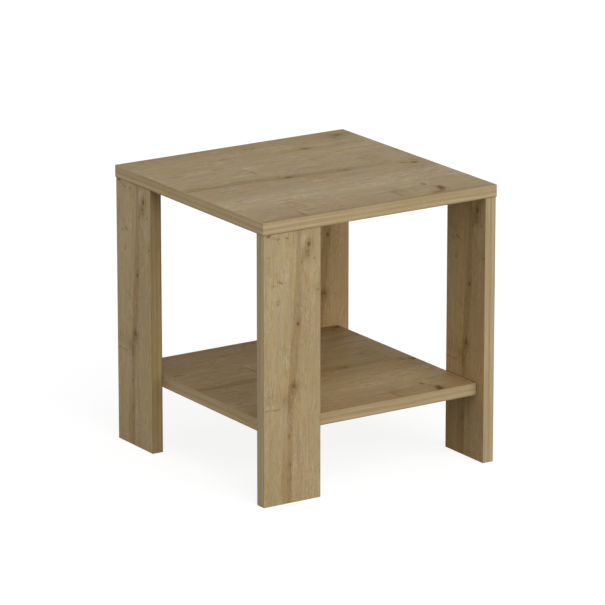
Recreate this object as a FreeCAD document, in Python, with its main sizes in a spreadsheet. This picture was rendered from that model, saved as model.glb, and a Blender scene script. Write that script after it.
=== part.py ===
import FreeCAD, Part
import os

import Sketcher

# An end table: a square top and a lower shelf on board legs that stand pinwheel-fashion at the corners.
# Millimetres, +Z up, the front at -Y, the origin on the floor under the middle of the top.

# Driving sizes
SIZES = {
    "top_width": 400.0,
    "top_depth": 400.0,
    "top_thickness": 18.0,
    "top_overhang": 1.0,
    "leg_length": 400.0,
    "leg_width": 96.0,
    "leg_thickness": 18.0,
    "shelf_height": 100.0,
    "shelf_thickness": 18.0,
    "band_thickness": 1.0,
    "edge_rounding": 0.5,
    "blind_skin": 7.0,
    "hole_end_gap": 1.0,
    "hole_fit": 0.1,
    "dowel_diameter": 8.0,
    "dowel_length": 30.0,
    "dowel_chamfer": 1.0,
    "dowel_edge_distance": 16.0,
    "bolt_bore": 8.0,
    "thread_diameter": 6.0,
    "thread_depth": 0.9,
    "thread_pitch": 2.0,
    "thread_run_out": 1.0,
    "collar_diameter": 7.2,
    "collar_thickness": 1.2,
    "shank_diameter": 5.4,
    "neck_diameter": 3.8,
    "neck_run_out": 1.0,
    "head_diameter": 6.6,
    "head_length": 4.0,
    "head_chamfer": 0.8,
    "head_play": 0.8,
    "cam_diameter": 15.0,
    "cam_wall": 2.6,
    "cam_setback": 34.0,
    "cam_below_axis": 5.4,
    "cam_seat_gap": 0.3,
    "recess_span": 8.0,
    "recess_width": 1.8,
    "recess_depth": 2.2,
    "disc_diameter": 18.0,
    "disc_thickness": 0.3,
}

# The rounding takes no more than this share of a band's thickness
ROUNDING_SHARE = 0.8
# How near a vertex lies to a plane to count as in it
IN_PLANE = 1e-4

QUARTER_TURN = 90.0
HALF_TURN = 180.0
FULL_TURN = 360.0
NO_TURN = FreeCAD.Rotation()
RIGHT = FreeCAD.Vector(1, 0, 0)
BACKWARD = FreeCAD.Vector(0, 1, 0)
UP = FreeCAD.Vector(0, 0, 1)
DOWN = FreeCAD.Vector(0, 0, -1)
# A sketch that stands upright, seen from -Y with Z up
UPRIGHT = FreeCAD.Rotation(RIGHT, QUARTER_TURN)
ORIGIN = ("0", "0", "0")

# The corners and the sides that start at them, each a quarter turn on from the one before
CORNERS = ("front_left", "front_right", "back_right", "back_left")
SIDES = ("front", "right", "back", "left")
QUARTERS = range(len(CORNERS))

doc = FreeCAD.newDocument("end_table")
sheet = doc.addObject("Spreadsheet::Sheet", "dims")
for row, (alias, size) in enumerate(SIZES.items(), start=1):
    sheet.set(f"A{row}", alias)
    sheet.set(f"B{row}", str(size))
    sheet.setAlias(f"B{row}", alias)
doc.recompute()

# Lengths worked out from the driving sizes, as expressions over the sheet
TOP_HALF_X = "(dims.top_width / 2)"
TOP_HALF_Y = "(dims.top_depth / 2)"
LEG_HALF_X = f"({TOP_HALF_X} - dims.top_overhang)"
LEG_HALF_Y = f"({TOP_HALF_Y} - dims.top_overhang)"
LEG_MID = "(dims.leg_thickness / 2)"
LEG_INNER_EDGE = "(dims.leg_width - dims.band_thickness)"
SHELF_HALF_X = f"({LEG_HALF_X} - dims.leg_thickness)"
SHELF_HALF_Y = f"({LEG_HALF_Y} - dims.leg_thickness)"
SHELF_MID = "(dims.shelf_thickness / 2)"
SHELF_MID_LEVEL = f"(dims.shelf_height + {SHELF_MID})"
ROUNDING = f"min(dims.edge_rounding; {ROUNDING_SHARE} * dims.band_thickness)"
DOWEL_HOLE = "(dims.dowel_diameter + dims.hole_fit)"
PILOT_HOLE = "(dims.thread_diameter + dims.hole_fit)"
CAM_HOLE = "(dims.cam_diameter + dims.hole_fit)"
CHAMBER_RADIUS = "(dims.cam_diameter / 2 - dims.cam_wall)"
HEAD_ROOM = "(dims.head_diameter + dims.head_play)"
HEAD_MOUTH = "(dims.head_diameter + dims.head_play / 2)"
NECK_ROOM = "(dims.neck_diameter + dims.head_play)"

# Where the joints lie along a leg's width, from its outer corner
TOP_JOINT = "(dims.leg_width / 2)"
TOP_DOWELS = ("dims.dowel_edge_distance", "(dims.leg_width - dims.dowel_edge_distance)")
SHELF_JOINT = "((dims.leg_thickness + dims.leg_width) / 2)"
SHELF_DOWELS = (
    "(dims.leg_thickness + dims.dowel_edge_distance)",
    "(dims.leg_width - dims.dowel_edge_distance)",
)
# How far in from a leg's outer face the shelf's cams lie
SHELF_CAM_INWARD = "(dims.leg_thickness + dims.cam_setback)"


def value(expression):
    return float(sheet.evalExpression(expression))


def blind_depth(board_thickness):
    """Depth of a hole drilled into a board's face that leaves a skin behind it."""
    return f"({board_thickness} - dims.blind_skin)"


def seat_depth(board_thickness):
    """How far a dowel or a thread reaches into a board's face."""
    return f"({blind_depth(board_thickness)} - dims.hole_end_gap)"


def end_depth(board_thickness):
    """Depth of the hole for the rest of a dowel, in the end of the board that meets that face."""
    return f"(dims.dowel_length - {seat_depth(board_thickness)} + dims.hole_end_gap)"


def cam_height(board_thickness):
    """A cam reaches from the board's face to a little below the bolt, which lies mid-board."""
    return f"({board_thickness} / 2 + dims.cam_below_axis)"


def cam_hole_depth(board_thickness):
    return f"({cam_height(board_thickness)} + dims.cam_seat_gap)"


def turn(quarter):
    return FreeCAD.Rotation(UP, QUARTER_TURN * quarter)


def inward(quarter):
    """Direction from a leg's outer face to its inner face."""
    return turn(quarter).multVec(BACKWARD)


def frame_of(x_axis, z_axis):
    return FreeCAD.Rotation(x_axis, z_axis.cross(x_axis), z_axis, "XZY")


def from_corner(quarter, half_x, half_y, along, inset):
    """X and Y of a point given along a side and inside it, from the corner that the side starts at."""
    return (
        (f"-{half_x} + ({along})", f"-{half_y} + ({inset})"),
        (f"{half_x} - ({inset})", f"-{half_y} + ({along})"),
        (f"{half_x} - ({along})", f"{half_y} - ({inset})"),
        (f"-{half_x} + ({inset})", f"{half_y} - ({along})"),
    )[quarter]


def on_leg(quarter, along, inset):
    return from_corner(quarter, LEG_HALF_X, LEG_HALF_Y, along, inset)


def place(piece, point, rotation):
    piece.Placement = FreeCAD.Placement(FreeCAD.Vector(), rotation)
    for axis, expression in zip("xyz", point):
        piece.setExpression(f"Placement.Base.{axis}", expression)


def new_body(label):
    body = doc.addObject("PartDesign::Body", label)
    body.Label = label
    return body


def new_sketch(body, name, origin=ORIGIN, rotation=NO_TURN):
    """A sketch on the body's own XY plane, moved and turned from there."""
    plane = next(item for item in body.Origin.OriginFeatures if item.Role == "XY_Plane")
    sketch = body.newObject("Sketcher::SketchObject", f"{body.Label}_{name}")
    sketch.AttachmentSupport = [(plane, "")]
    sketch.MapMode = "FlatFace"
    sketch.AttachmentOffset = FreeCAD.Placement(FreeCAD.Vector(), rotation)
    for axis, expression in zip("xyz", origin):
        sketch.setExpression(f"AttachmentOffset.Base.{axis}", expression)
    return sketch


def constrain(sketch, kind, references, expression):
    index = sketch.addConstraint(Sketcher.Constraint(kind, *references, value(expression)))
    sketch.setExpression(f"Constraints[{index}]", expression)


def draw_polygon(sketch, corners):
    points = [FreeCAD.Vector(value(x), value(y), 0) for x, y in corners]
    following = [(number + 1) % len(points) for number in range(len(points))]
    for start, end in enumerate(following):
        sketch.addGeometry(Part.LineSegment(points[start], points[end]))
    for start, end in enumerate(following):
        sketch.addConstraint(Sketcher.Constraint("Coincident", start, 2, end, 1))
        constrain(sketch, "DistanceX", (-1, 1, start, 1), corners[start][0])
        constrain(sketch, "DistanceY", (-1, 1, start, 1), corners[start][1])


def draw_circles(sketch, centres, diameter):
    for x, y in centres:
        centre = FreeCAD.Vector(value(x), value(y), 0)
        circle = sketch.addGeometry(Part.Circle(centre, UP, value(diameter) / 2))
        constrain(sketch, "DistanceX", (-1, 1, circle, 3), x)
        constrain(sketch, "DistanceY", (-1, 1, circle, 3), y)
        constrain(sketch, "Diameter", (circle,), diameter)


def add_slab(body, x_range, y_range, z_range):
    """A rectangular board between two levels along each axis."""
    x_low, x_high = x_range
    y_low, y_high = y_range
    z_low, z_high = z_range
    sketch = new_sketch(body, "outline", ("0", "0", z_low))
    draw_polygon(sketch, ((x_low, y_low), (x_high, y_low), (x_high, y_high), (x_low, y_high)))
    pad = body.newObject("PartDesign::Pad", f"{body.Label}_board")
    pad.Profile = sketch
    pad.setExpression("Length", f"{z_high} - {z_low}")
    doc.recompute()


def settle_cut(feature):
    """Works a cut out, and stops if it takes nothing away."""
    before = feature.BaseFeature.Shape.Volume
    doc.recompute()
    if feature.Shape.Volume >= before:
        raise RuntimeError(f"{feature.Label} cuts nothing")


def cut_pocket(body, sketch, depth, along_normal):
    pocket = body.newObject("PartDesign::Pocket", f"{sketch.Label}_cut")
    pocket.Profile = sketch
    pocket.Reversed = along_normal
    pocket.setExpression("Length", depth)
    settle_cut(pocket)


def drill(body, name, centres, diameter, depth, along_normal, origin=ORIGIN, rotation=NO_TURN):
    sketch = new_sketch(body, name, origin, rotation)
    draw_circles(sketch, centres, diameter)
    cut_pocket(body, sketch, depth, along_normal)


def round_edges(body, flat_planes):
    """Rounds a band's edges, all but those in the planes where it meets something."""
    solid = body.Tip
    kept = [(axis, value(level)) for axis, level in flat_planes]
    rounded = []
    for number, edge in enumerate(solid.Shape.Edges, start=1):
        ends = [vertex.Point for vertex in edge.Vertexes]
        if not any(all(abs(end[axis] - level) < IN_PLANE for end in ends) for axis, level in kept):
            rounded.append(f"Edge{number}")
    fillet = body.newObject("PartDesign::Fillet", f"{body.Label}_rounding")
    fillet.Base = (solid, rounded)
    fillet.setExpression("Radius", ROUNDING)
    doc.recompute()


def panel(label, half_x, half_y, thickness):
    """A board without its edge bands, centred on the origin with its underside at zero."""
    body = new_body(label)
    core_x = f"({half_x} - dims.band_thickness)"
    core_y = f"({half_y} - dims.band_thickness)"
    add_slab(body, (f"-{core_x}", core_x), (f"-{core_y}", core_y), ("0", thickness))
    return body


def panel_bands(label, half_x, half_y, thickness, level):
    """Edge bands round a board: those at the front and back run its full width, the others fit between."""
    bands = []
    for quarter, side in enumerate(SIDES):
        band = new_body(f"{label}_{side}_band")
        between = side in ("left", "right")
        run = f"(2 * {half_y if between else half_x})"
        start = "dims.band_thickness" if between else "0"
        end = f"({run} - {start})"
        add_slab(band, (start, end), ("0", "dims.band_thickness"), ("0", thickness))
        flat_planes = [(1, "dims.band_thickness")]
        if between:
            flat_planes += [(0, start), (0, end)]
        round_edges(band, flat_planes)
        place(band, (*from_corner(quarter, half_x, half_y, "0", "0"), level), turn(quarter))
        bands.append(band)
    return bands


def leg_board(label):
    """A leg without its edge bands, drilled in its upper end for the top and its inner face for the shelf."""
    body = new_body(label)
    core_x = ("dims.band_thickness", LEG_INNER_EDGE)
    core_z = ("dims.band_thickness", "dims.leg_length")
    add_slab(body, core_x, ("0", "dims.leg_thickness"), core_z)

    upper_end = ("0", "0", "dims.leg_length")
    end_dowels = [(along, LEG_MID) for along in TOP_DOWELS]
    drill(body, "end_dowel_holes", end_dowels, DOWEL_HOLE, end_depth("dims.top_thickness"), False, upper_end)
    drill(body, "end_bolt_hole", [(TOP_JOINT, LEG_MID)], "dims.bolt_bore", "dims.cam_setback", False, upper_end)

    inner_face = (("0", "dims.leg_thickness", "0"), UPRIGHT)
    cam_centre = (TOP_JOINT, "(dims.leg_length - dims.cam_setback)")
    drill(body, "cam_hole", [cam_centre], CAM_HOLE, cam_hole_depth("dims.leg_thickness"), True, *inner_face)
    face_depth = blind_depth("dims.leg_thickness")
    face_dowels = [(along, SHELF_MID_LEVEL) for along in SHELF_DOWELS]
    drill(body, "face_dowel_holes", face_dowels, DOWEL_HOLE, face_depth, True, *inner_face)
    drill(body, "face_bolt_hole", [(SHELF_JOINT, SHELF_MID_LEVEL)], PILOT_HOLE, face_depth, True, *inner_face)
    return body


def leg_bands(label):
    """Edge bands on a leg's two long edges and, between them, its foot."""
    across = ("0", "dims.leg_thickness")
    full_length = ("0", "dims.leg_length")
    corner_band = new_body(f"{label}_corner_band")
    add_slab(corner_band, ("0", "dims.band_thickness"), across, full_length)
    round_edges(corner_band, ((0, "dims.band_thickness"), (2, "dims.leg_length")))
    inner_band = new_body(f"{label}_inner_band")
    add_slab(inner_band, (LEG_INNER_EDGE, "dims.leg_width"), across, full_length)
    round_edges(inner_band, ((0, LEG_INNER_EDGE), (2, "dims.leg_length")))
    foot_band = new_body(f"{label}_foot_band")
    add_slab(foot_band, ("dims.band_thickness", LEG_INNER_EDGE), across, ("0", "dims.band_thickness"))
    round_edges(foot_band, ((2, "dims.band_thickness"), (0, "dims.band_thickness"), (0, LEG_INNER_EDGE)))
    return [corner_band, inner_band, foot_band]


def turned(label, profile):
    """A piece of revolution about its X axis."""
    body = new_body(label)
    sketch = new_sketch(body, "profile")
    draw_polygon(sketch, profile)
    revolution = body.newObject("PartDesign::Revolution", f"{label}_turned")
    revolution.Profile = sketch
    revolution.ReferenceAxis = (sketch, ["H_Axis"])
    revolution.Angle = FULL_TURN
    doc.recompute()
    return body


def dowel(label, board_thickness):
    """A chamfered dowel along X, its seat in the face-drilled board at negative X."""
    seat = seat_depth(board_thickness)
    rest = f"(dims.dowel_length - {seat})"
    radius = "dims.dowel_diameter / 2"
    profile = (
        (f"-{seat}", "0"),
        (f"-{seat}", f"{radius} - dims.dowel_chamfer"),
        (f"-{seat} + dims.dowel_chamfer", radius),
        (f"{rest} - dims.dowel_chamfer", radius),
        (rest, f"{radius} - dims.dowel_chamfer"),
        (rest, "0"),
    )
    return turned(label, profile)


def cam_bolt(label, board_thickness):
    """A cam bolt along X: its thread in the face-drilled board at negative X, its head on the cam's axis."""
    reach = seat_depth(board_thickness)
    crest = "dims.thread_diameter / 2"
    root = f"({crest} - dims.thread_depth)"
    ridges = int(value(f"({reach} - dims.thread_run_out) / dims.thread_pitch"))
    profile = [(f"-{reach}", "0")]
    for number in range(ridges):
        foot = f"-{reach} + {number} * dims.thread_pitch"
        profile += [(foot, root), (f"{foot} + dims.thread_pitch / 2", crest)]
    collar = "dims.collar_diameter / 2"
    shank = "dims.shank_diameter / 2"
    neck = "dims.neck_diameter / 2"
    head = "dims.head_diameter / 2"
    neck_start = "(dims.cam_setback - dims.cam_diameter / 2 - dims.neck_run_out)"
    head_start = "(dims.cam_setback - dims.head_length / 2)"
    head_end = "(dims.cam_setback + dims.head_length / 2)"
    profile += [
        (f"-{reach} + {ridges} * dims.thread_pitch", root),
        ("0", root),
        ("0", collar),
        ("dims.collar_thickness", collar),
        ("dims.collar_thickness", shank),
        (neck_start, shank),
        (neck_start, neck),
        (head_start, neck),
        (f"{head_start} + dims.head_chamfer", head),
        (f"{head_end} - dims.head_chamfer", head),
        (head_end, f"{head} - dims.head_chamfer"),
        (head_end, "0"),
    ]
    return turned(label, profile)


def cut_groove(body, name, reach, room, opening, lead, level):
    """Cuts a slot of even height out to a radius, through an angle that starts before the X axis."""
    side_on = FreeCAD.Rotation(UP, -lead).multiply(UPRIGHT)
    sketch = new_sketch(body, name, ("0", "0", level), side_on)
    low = f"-{room} / 2"
    high = f"{room} / 2"
    draw_polygon(sketch, (("0", low), (reach, low), (reach, high), ("0", high)))
    groove = body.newObject("PartDesign::Groove", f"{sketch.Label}_cut")
    groove.Profile = sketch
    groove.ReferenceAxis = (sketch, ["V_Axis"])
    groove.Angle = opening
    settle_cut(groove)


def cam(label, board_thickness):
    """A cam with its face up at zero, locked on a bolt that comes in along X at mid-board."""
    body = new_body(label)
    outline = new_sketch(body, "outline")
    draw_circles(outline, [("0", "0")], "dims.cam_diameter")
    barrel = body.newObject("PartDesign::Pad", f"{label}_barrel")
    barrel.Profile = outline
    barrel.Reversed = True
    barrel.setExpression("Length", cam_height(board_thickness))
    doc.recompute()

    # The chamber round the bolt's head, the slot that its neck slides along, and the mouth it goes in by
    bolt_level = f"-({board_thickness} / 2)"
    neck_lead = value(f"asin({NECK_ROOM} / 2 / {CHAMBER_RADIUS})")
    facing_bolt = frame_of(UP, RIGHT)
    cut_groove(body, "chamber", CHAMBER_RADIUS, HEAD_ROOM, FULL_TURN, 0.0, bolt_level)
    cut_groove(body, "slot", "dims.cam_diameter", NECK_ROOM, HALF_TURN + neck_lead, neck_lead, bolt_level)
    mouth_point = ("0", "0", bolt_level)
    drill(body, "mouth", [("0", "0")], HEAD_MOUTH, "dims.cam_diameter", False, mouth_point, facing_bolt)

    # The screwdriver's cross in the face
    arm = "dims.recess_span / 2"
    half = "dims.recess_width / 2"
    quadrant = ((arm, f"-{half}"), (arm, half), (half, half))
    cross = list(quadrant)
    cross += [(f"-({y})", x) for x, y in quadrant]
    cross += [(f"-({x})", f"-({y})") for x, y in quadrant]
    cross += [(y, f"-({x})") for x, y in quadrant]
    recess = new_sketch(body, "recess")
    draw_polygon(recess, cross)
    cut_pocket(body, recess, "dims.recess_depth", False)
    return body


def repeat(label, master, places):
    """One node that holds a copy of the master at each place."""
    copies = []
    for number, (point, rotation) in enumerate(places, start=1):
        copy = doc.addObject("App::Link", f"{label}_{number}")
        copy.LinkedObject = master
        place(copy, point, rotation)
        copies.append(copy)
    group = doc.addObject("Part::Compound", label)
    group.Label = label
    group.Links = copies
    doc.recompute()
    return group


nodes = []

# Legs
for quarter, corner in enumerate(CORNERS):
    leg_pieces = [leg_board(f"leg_{corner}"), *leg_bands(f"leg_{corner}")]
    for piece in leg_pieces:
        place(piece, (*on_leg(quarter, "0", "0"), "0"), turn(quarter))
    nodes += leg_pieces

# Top, drilled from below over each leg's end
top = panel("top_panel", TOP_HALF_X, TOP_HALF_Y, "dims.top_thickness")
top_dowel_points = [on_leg(quarter, along, LEG_MID) for quarter in QUARTERS for along in TOP_DOWELS]
top_bolt_points = [on_leg(quarter, TOP_JOINT, LEG_MID) for quarter in QUARTERS]
drill(top, "dowel_holes", top_dowel_points, DOWEL_HOLE, blind_depth("dims.top_thickness"), True)
drill(top, "bolt_holes", top_bolt_points, PILOT_HOLE, blind_depth("dims.top_thickness"), True)
place(top, ("0", "0", "dims.leg_length"), NO_TURN)
nodes.append(top)
nodes += panel_bands("top", TOP_HALF_X, TOP_HALF_Y, "dims.top_thickness", "dims.leg_length")

# Shelf: each side meets one leg's inner face, and is drilled there through its band
shelf = panel("shelf_panel", SHELF_HALF_X, SHELF_HALF_Y, "dims.shelf_thickness")
shelf_bands = panel_bands("shelf", SHELF_HALF_X, SHELF_HALF_Y, "dims.shelf_thickness", "dims.shelf_height")
side_dowel_depth = f"({end_depth('dims.leg_thickness')} - dims.band_thickness)"
side_bolt_depth = "(dims.cam_setback - dims.band_thickness)"
side_dowels = [(along, SHELF_MID) for along in SHELF_DOWELS]
side_bolt = [(SHELF_JOINT, SHELF_MID)]
band_dowels = [(f"{along} - dims.leg_thickness", SHELF_MID) for along in SHELF_DOWELS]
band_bolt = [(f"{SHELF_JOINT} - dims.leg_thickness", SHELF_MID)]
for quarter, side in enumerate(SIDES):
    band = shelf_bands[quarter]
    drill(band, "dowel_holes", band_dowels, DOWEL_HOLE, "dims.band_thickness", False, ORIGIN, UPRIGHT)
    drill(band, "bolt_hole", band_bolt, "dims.bolt_bore", "dims.band_thickness", False, ORIGIN, UPRIGHT)
    side_corner = (*on_leg(quarter, "0", "dims.leg_thickness + dims.band_thickness"), "0")
    facing = turn(quarter).multiply(UPRIGHT)
    drill(shelf, f"{side}_dowel_holes", side_dowels, DOWEL_HOLE, side_dowel_depth, False, side_corner, facing)
    drill(shelf, f"{side}_bolt_hole", side_bolt, "dims.bolt_bore", side_bolt_depth, False, side_corner, facing)
shelf_cam_points = [on_leg(quarter, SHELF_JOINT, SHELF_CAM_INWARD) for quarter in QUARTERS]
drill(shelf, "cam_holes", shelf_cam_points, CAM_HOLE, cam_hole_depth("dims.shelf_thickness"), True)
place(shelf, ("0", "0", "dims.shelf_height"), NO_TURN)
nodes.append(shelf)
nodes += shelf_bands

# Dowels and cam bolts between the legs' upper ends and the top
downward = frame_of(DOWN, RIGHT)
top_dowel_places = [((*point, "dims.leg_length"), downward) for point in top_dowel_points]
top_bolt_places = [((*point, "dims.leg_length"), downward) for point in top_bolt_points]
nodes.append(repeat("top_dowels", dowel("top_dowel", "dims.top_thickness"), top_dowel_places))
nodes.append(repeat("top_cam_bolts", cam_bolt("top_cam_bolt", "dims.top_thickness"), top_bolt_places))

# Cams in the legs' inner faces, and the discs stuck over them
cam_level = "dims.leg_length - dims.cam_setback"
leg_cam_places = [
    ((*on_leg(quarter, TOP_JOINT, "dims.leg_thickness"), cam_level), frame_of(UP, inward(quarter)))
    for quarter in QUARTERS
]
nodes.append(repeat("leg_cams", cam("leg_cam", "dims.leg_thickness"), leg_cam_places))
disc = doc.addObject("Part::Cylinder", "cam_cover_disc")
disc.setExpression("Radius", "dims.disc_diameter / 2")
disc.setExpression("Height", "dims.disc_thickness")
nodes.append(repeat("cam_cover_discs", disc, leg_cam_places))

# Dowels, cam bolts and cams between the legs' inner faces and the shelf
shelf_dowel_places = [
    ((*on_leg(quarter, along, "dims.leg_thickness"), SHELF_MID_LEVEL), frame_of(inward(quarter), UP))
    for quarter in QUARTERS
    for along in SHELF_DOWELS
]
shelf_bolt_places = [
    ((*on_leg(quarter, SHELF_JOINT, "dims.leg_thickness"), SHELF_MID_LEVEL), frame_of(inward(quarter), UP))
    for quarter in QUARTERS
]
shelf_cam_places = [
    ((*point, "dims.shelf_height"), frame_of(-inward(quarter), DOWN))
    for quarter, point in enumerate(shelf_cam_points)
]
nodes.append(repeat("shelf_dowels", dowel("shelf_dowel", "dims.leg_thickness"), shelf_dowel_places))
nodes.append(repeat("shelf_cam_bolts", cam_bolt("shelf_cam_bolt", "dims.leg_thickness"), shelf_bolt_places))
nodes.append(repeat("shelf_cams", cam("shelf_cam", "dims.shelf_thickness"), shelf_cam_places))

# Every object is sound before anything is written
doc.recompute()
for item in doc.Objects:
    if "Invalid" in item.State or "Error" in item.State:
        raise RuntimeError(f"{item.Label} is in state {item.State}")
for node in nodes:
    if node.Shape.isNull() or not node.Shape.isValid():
        raise RuntimeError(f"{node.Label} has no valid shape")

os.makedirs("parts", exist_ok=True)
for node in nodes:
    node.Shape.exportStep(f"parts/{node.Label}.step")
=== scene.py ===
import math
from collections import namedtuple

import bpy
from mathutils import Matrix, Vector


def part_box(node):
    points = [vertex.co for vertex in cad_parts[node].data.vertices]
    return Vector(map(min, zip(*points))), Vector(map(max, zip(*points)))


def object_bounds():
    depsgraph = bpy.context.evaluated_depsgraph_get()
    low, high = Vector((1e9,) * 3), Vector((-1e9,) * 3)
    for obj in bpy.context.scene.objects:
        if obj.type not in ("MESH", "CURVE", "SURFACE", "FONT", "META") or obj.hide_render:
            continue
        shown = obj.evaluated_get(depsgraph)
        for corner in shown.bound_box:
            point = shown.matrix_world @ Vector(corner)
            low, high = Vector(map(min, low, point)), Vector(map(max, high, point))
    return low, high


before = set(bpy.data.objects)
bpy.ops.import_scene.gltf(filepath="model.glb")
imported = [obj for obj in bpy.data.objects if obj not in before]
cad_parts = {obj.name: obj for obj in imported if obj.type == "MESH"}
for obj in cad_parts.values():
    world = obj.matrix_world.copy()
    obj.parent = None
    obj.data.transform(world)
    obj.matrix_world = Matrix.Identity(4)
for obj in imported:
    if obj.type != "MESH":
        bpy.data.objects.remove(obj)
cad_low, cad_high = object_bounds()

MM = 0.001

# The boards' faces, read from the frame, in mm
table_low = cad_low / MM
table_high = cad_high / MM
leg_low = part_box("leg_front_left_corner_band")[0] / MM
leg_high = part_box("leg_front_left_inner_band")[1] / MM
LEG_WIDTH = leg_high.x - leg_low.x
LEG_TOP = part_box("leg_front_left")[1].z / MM
LEG_OUTSIDE = -leg_low.y
LEG_INSIDE = -leg_high.y
BOARD = LEG_OUTSIDE - LEG_INSIDE
TOP_WIDTH = table_high.x - table_low.x
SHELF_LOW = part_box("shelf_front_band")[0].z / MM
SHELF_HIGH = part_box("shelf_front_band")[1].z / MM

# The camera: its direction from the table's front, height angle and place, from the photograph's lines
VIEW_AZIMUTH = math.radians(-33.229)
VIEW_ELEVATION = math.radians(15.915)
VIEW_PLACE = (-3.6341, -5.5422, 2.1148)
LENS = 280.75
SENSOR = 36.0
FARTHEST_SEEN = 200.0

# Studio light: its even part, and wide lamps by azimuth from the front, elevation and strength
AMBIENT = 0.13
LAMP_SPREAD = 50.0
Lamp = namedtuple("Lamp", "name azimuth elevation strength")
LAMPS = (
    Lamp("front_high", -13.0, 45.0, 0.415),
    Lamp("front_low", 15.0, 15.0, 0.39),
    Lamp("overhead", 0.0, 75.0, 0.10),
    Lamp("left", -90.0, 30.0, 0.115),
    Lamp("back_left", -150.0, 15.0, 0.25),
    Lamp("right", 105.0, 15.0, 0.16),
)
WHITE = (1.0, 1.0, 1.0)

# The floor: a hair below the feet, so that the two faces stay apart, with the grey that lights the table
# from below, and the darker grey and the glow that together look white and keep the shadow
FLOOR_SIZE = 60.0
FLOOR_DROP = 0.2 * MM
FLOOR_BOUNCE = (0.5, 0.5, 0.5)
FLOOR_SHADE = (0.22, 0.22, 0.22)
FLOOR_GLOW = 0.86

# Oak colours of the legs' outer and inner faces, the top, the shelf and the edge bands: lit and shaded
# copies of one oak, with painted shade and warm bounce light on the inner faces, the shelf and the inner
# bands, and painted shade and sheen on the darker, greyer top
OUTER_OAK = (0.410, 0.305, 0.165)
INNER_SHADED_OAK = (0.412, 0.284, 0.137)
TOP_SHADE_AND_SHEEN_OAK = (0.346, 0.263, 0.149)
SHELF_SHADED_OAK = (0.324, 0.222, 0.104)
BAND_LIT_AND_SHADED_OAKS = {
    "top": (0.438, 0.330, 0.183),
    "shelf": (0.412, 0.308, 0.168),
    "corner": (0.425, 0.320, 0.178),
    "inner": (0.385, 0.274, 0.133),
    "foot": (0.425, 0.320, 0.178),
}

# How fast red, green and blue fall where the wood is darker
LEG_STAIN = (1.08, 1.35, 1.80)
TOP_STAIN = (1.10, 1.35, 1.88)

# Slow drift of the wood's red, green and blue: width and length of its patches in mm, and its reach
Drift = namedtuple("Drift", "width length rates")
LEG_DRIFT = Drift(13.0, 50.0, (0.20, 0.08, 0.38))
TOP_DRIFT = Drift(26.0, 60.0, (0.24, 0.10, 0.48))
BAND_DRIFT = Drift(13.0, 50.0, (0.08, 0.05, 0.18))

# Grain figures: width and length in mm, how much each lightens and darkens the wood, and its detail
Layer = namedtuple("Layer", "width length strength detail")
LEG_LAYERS = (
    Layer(0.5, 16.0, 0.15, 2.0),
    Layer(1.3, 11.0, 0.20, 2.0),
    Layer(2.4, 42.0, 0.09, 2.0),
    Layer(2.6, 4.5, 0.09, 2.0),
    Layer(5.5, 130.0, 0.07, 1.0),
    Layer(16.0, 90.0, 0.06, 1.0),
    Layer(30.0, 260.0, 0.05, 0.0),
)
TOP_LAYERS = (
    Layer(0.6, 14.0, 0.12, 2.0),
    Layer(2.0, 16.0, 0.17, 2.0),
    Layer(5.0, 10.0, 0.13, 2.0),
    Layer(4.0, 60.0, 0.10, 2.0),
    Layer(9.0, 50.0, 0.09, 1.0),
    Layer(16.0, 120.0, 0.06, 1.0),
)
BAND_LAYERS = (
    Layer(0.5, 40.0, 0.12, 2.0),
    Layer(1.2, 90.0, 0.17, 1.0),
    Layer(2.6, 160.0, 0.10, 1.0),
    Layer(7.0, 420.0, 0.06, 0.0),
)

# Step from one layer's noise to the next, so that no two layers repeat each other
LAYER_STEP = 7.3

# Calm and lively places of the grain: width and length in mm, the noise there, and the grain's strength
CALM_WIDTH = 34.0
CALM_LENGTH = 80.0
CALM_NOISE = 0.35
LIVELY_NOISE = 0.65
CALM = 0.45
LIVELY = 1.5

# Growth rings: width and length of their figure in mm, how closely they lie and how dark their lines are
Rings = namedtuple("Rings", "width length count strength")
LEG_RINGS = Rings(24.0, 330.0, 14.0, 0.09)
TOP_RINGS = Rings(30.0, 300.0, 14.0, 0.09)
RING_FALL = 3.0

# Pores: width and length in mm, the noise where they begin and where they are deep, and their tone
PORE_WIDTH = 0.4
PORE_LENGTH = 9.0
PORE_BEGINS = 0.60
PORE_DEEP = 0.72
PORE_TONE = -0.13

# Knots: place across and along, half sizes and darkness of eye and halo, and how far the grain bends
Knot = namedtuple("Knot", "across along eye dark halo shade bend")
LEG_KNOTS = (
    Knot(75.6, 22.2, (3.1, 3.6), 0.84, (8.0, 14.0), 0.03, 0.60),
    Knot(50.5, 228.0, (3.2, 3.0), 0.32, (7.5, 9.0), 0.24, 0.60),
    Knot(57.7, 136.5, (1.9, 2.4), 0.85, (4.0, 7.0), 0.10, 0.50),
    Knot(42.7, 300.5, (2.0, 3.2), 0.29, (4.0, 6.0), 0.06, 0.40),
    Knot(45.2, 342.0, (2.2, 2.0), 0.34, (3.5, 6.0), 0.08, 0.40),
)
TOP_KNOTS = (
    Knot(201.0, 172.0, (3.0, 4.2), 0.62, (6.0, 12.0), 0.12, 0.55),
    Knot(26.5, 372.0, (4.4, 7.5), 0.48, (14.0, 20.0), 0.14, 0.60),
    Knot(226.0, 375.5, (4.0, 5.0), 0.54, (7.0, 12.0), 0.14, 0.55),
    Knot(369.0, 323.0, (7.4, 4.4), 0.94, (12.0, 11.0), 0.14, 0.60),
    Knot(211.0, 265.0, (3.0, 4.0), 0.26, (7.0, 12.0), 0.08, 0.55),
    Knot(71.0, 286.0, (4.0, 6.5), 0.40, (8.0, 15.0), 0.10, 0.50),
)

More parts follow.
